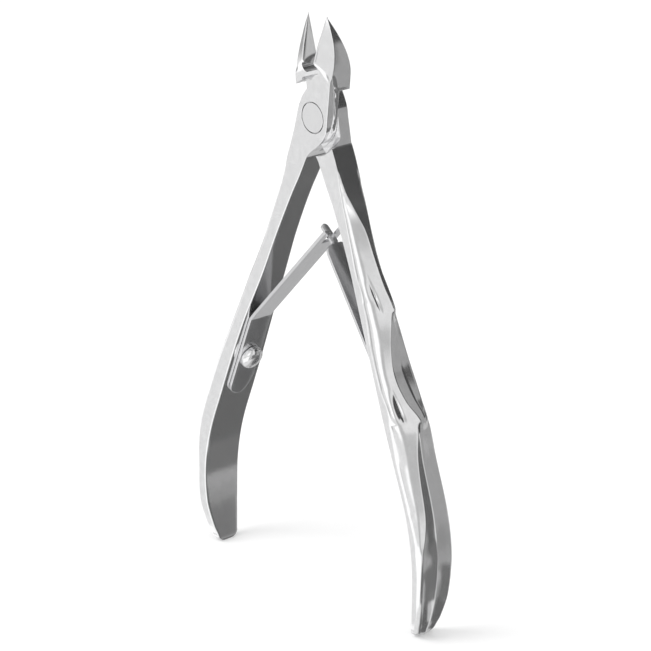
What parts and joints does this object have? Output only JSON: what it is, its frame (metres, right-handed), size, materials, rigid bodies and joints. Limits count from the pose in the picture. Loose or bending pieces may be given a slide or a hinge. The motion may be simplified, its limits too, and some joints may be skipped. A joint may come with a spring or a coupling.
{
  "type": "cuticle nipper",
  "caption": "Steel cuticle nipper with pointed half-moon jaws, a riveted lap joint, contoured handles and a forked leaf spring between them.",
  "frame": {"origin": "on the pivot axis, in the flat back face of the lap joint, which is also the flush back end of the rivet", "axes": "+Z from the handles to the jaws, +X to the right seen from the front, +Y along the pivot axis towards the back"},
  "size_m": [0.0638, 0.0087, 0.1137],
  "materials": {
    "forged_steel": "mirror-polished stainless steel with fine polishing marks",
    "pin_steel": "ground flush and polished",
    "spring_steel": "satin spring steel, finely brushed along the leaf",
    "screw_steel": "bright turned steel"
  },
  "bodies": {
    "back_half_body": {"back_half": "forged_steel", "pivot_rivet": "pin_steel", "right_spring_screw": "screw_steel"},
    "front_half_body": {"front_half": "forged_steel", "left_spring_screw": "screw_steel"},
    "left_spring_arm": {"left_spring": "spring_steel"},
    "right_spring_arm": {"right_spring": "spring_steel"}
  },
  "joints": [
    {"name": "pivot", "type": "hinge", "parent": "back_half_body", "child": "front_half_body", "pos_m": [0, -0.00255, 0], "axis": [0, -1, 0], "range_deg": [-4.5, 14.3], "stiffness_Nm_per_rad": 1.1},
    {"name": "left_spring_flex", "type": "hinge", "parent": "front_half_body", "child": "left_spring_arm", "pos_m": [-0.01235, -0.00255, -0.04018], "axis": [0, -1, 0], "range_deg": [-2.65, 8.35], "deforming": ["left_spring"]},
    {"name": "right_spring_flex", "type": "hinge", "parent": "back_half_body", "child": "right_spring_arm", "pos_m": [0.01439, -0.00255, -0.04107], "axis": [0, -1, 0], "range_deg": [-8.35, 2.65], "deforming": ["right_spring"]}
  ],
  "couplings": [
    {"joint": "left_spring_flex", "follows": "pivot", "ratio": 0.58},
    {"joint": "right_spring_flex", "follows": "pivot", "ratio": -0.58}
  ]
}
